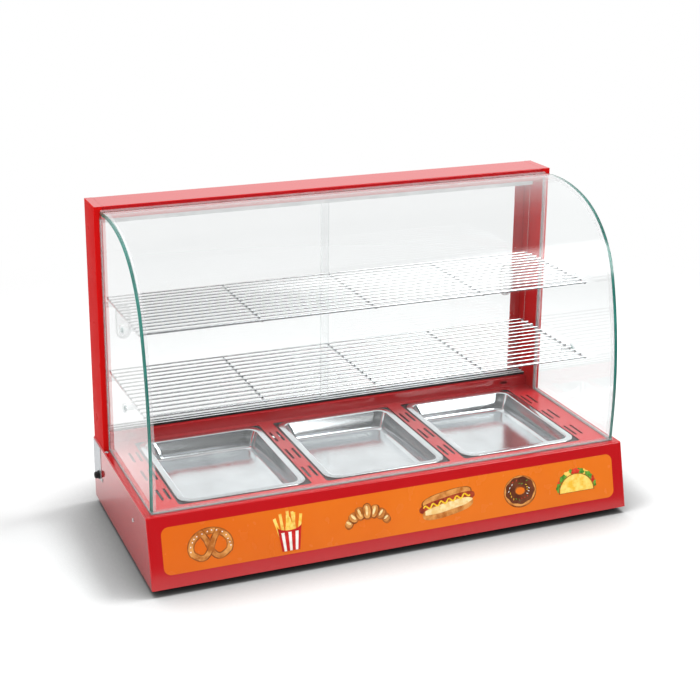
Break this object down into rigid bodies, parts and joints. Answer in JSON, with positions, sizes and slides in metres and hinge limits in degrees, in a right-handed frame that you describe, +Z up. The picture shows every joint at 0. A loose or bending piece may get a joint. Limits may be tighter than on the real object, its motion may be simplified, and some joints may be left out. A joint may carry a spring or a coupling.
{
  "type": "heated food display case",
  "caption": "Countertop heated food display: curved front glass, lift-out pans in a warm deck, wire racks and sliding glass doors at the back.",
  "frame": {"origin": "on the floor, in the middle of the overall width and depth", "axes": "+X to the right along the width, +Y from the curved front towards the sliding doors, +Z up"},
  "size_m": [0.911, 0.414, 0.583],
  "materials": {
    "red_enamel": "glossy red enamel on folded sheet steel",
    "inner_steel": "glossy red enamel on the deck and rear panel",
    "galvanised_steel": "plain zinc-coated sheet",
    "pan_steel": "satin stainless steel",
    "black_metal": "black enamel",
    "element_steel": "dull heated tube",
    "glass": "clear float glass with a green-blue edge",
    "clear_seal": "milky clear plastic",
    "black_track": "matt black plastic",
    "grey_track": "light grey plastic",
    "pull_plastic": "smooth pale plastic",
    "shelf_chrome": "bright chrome-plated wire",
    "lamp_glass": "frosted white",
    "white_plastic": "white plastic",
    "black_plastic": "satin black plastic",
    "amber_lens": "translucent amber plastic",
    "screw_steel": "bright zinc",
    "foot_rubber": "matt black rubber"
  },
  "bodies": {
    "housing": {"base_shell": "red_enamel", "bottom_plate": "galvanised_steel", "cable_gland": "black_track", "column_left": "red_enamel", "column_pegs": "clear_seal", "column_right": "red_enamel", "corner_seal_left": "clear_seal", "corner_seal_right": "clear_seal", "deck_plate": "inner_steel", "element_brackets": "galvanised_steel", "feet": "foot_rubber", "foot_screws": "screw_steel", "front_glass": "glass", "front_seal": "clear_seal", "glass_pegs": "clear_seal", "heat_shield": "galvanised_steel", "heating_element_centre": "element_steel", "heating_element_left": "element_steel", "heating_element_right": "element_steel", "indicator_light": "amber_lens", "lamp_holders": "white_plastic", "lamp_lens": "lamp_glass", "lamp_tube": "lamp_glass", "pan_ledge_centre": "black_metal", "pan_ledge_left": "black_metal", "pan_ledge_right": "black_metal", "panel_screws": "screw_steel", "post_seal_left": "clear_seal", "post_seal_right": "clear_seal", "rear_panel": "inner_steel", "side_glass_left": "glass", "side_glass_right": "glass", "side_seal_left": "clear_seal", "side_seal_right": "clear_seal", "switch_light": "black_plastic", "switch_power": "black_plastic", "terminal_block": "black_track", "thermostat": "black_plastic", "top_beam": "red_enamel", "top_seal": "clear_seal", "track_bottom": "black_track", "track_top": "grey_track"},
    "left_door": {"door_left": "glass", "door_pull_left": "pull_plastic"},
    "right_door": {"door_right": "glass", "door_pull_right": "pull_plastic"},
    "knob": {"thermostat_knob": "black_plastic"},
    "power_rocker": {"rocker_power": "black_plastic"},
    "light_rocker": {"rocker_light": "black_plastic"},
    "left_pan": {"pan_left": "pan_steel"},
    "centre_pan": {"pan_centre": "pan_steel"},
    "right_pan": {"pan_right": "pan_steel"},
    "lower_rack": {"shelf_lower": "shelf_chrome"},
    "upper_rack": {"shelf_upper": "shelf_chrome"}
  },
  "joints": [
    {"name": "left_door_slide", "type": "slide", "parent": "housing", "child": "left_door", "axis": [1, 0, 0], "range_m": [0, 0.42]},
    {"name": "right_door_slide", "type": "slide", "parent": "housing", "child": "right_door", "axis": [-1, 0, 0], "range_m": [0, 0.42]},
    {"name": "knob_turn", "type": "hinge", "parent": "housing", "child": "knob", "pos_m": [0.3, 0.191, 0.076], "axis": [0, 1, 0], "range_deg": [0, 270]},
    {"name": "power_rock", "type": "hinge", "parent": "housing", "child": "power_rocker", "pos_m": [0.15, 0.191, 0.076], "axis": [1, 0, 0], "range_deg": [0, 16]},
    {"name": "light_rock", "type": "hinge", "parent": "housing", "child": "light_rocker", "pos_m": [0.19, 0.191, 0.076], "axis": [1, 0, 0], "range_deg": [0, 16]},
    {"name": "left_pan_lift", "type": "slide", "parent": "housing", "child": "left_pan", "axis": [0, 0, 1], "range_m": [0, 0.12]},
    {"name": "centre_pan_lift", "type": "slide", "parent": "housing", "child": "centre_pan", "axis": [0, 0, 1], "range_m": [0, 0.12]},
    {"name": "right_pan_lift", "type": "slide", "parent": "housing", "child": "right_pan", "axis": [0, 0, 1], "range_m": [0, 0.12]},
    {"name": "lower_rack_lift", "type": "slide", "parent": "housing", "child": "lower_rack", "axis": [0, 0, 1], "range_m": [0, 0.06]},
    {"name": "upper_rack_lift", "type": "slide", "parent": "housing", "child": "upper_rack", "axis": [0, 0, 1], "range_m": [0, 0.06]}
  ]
}
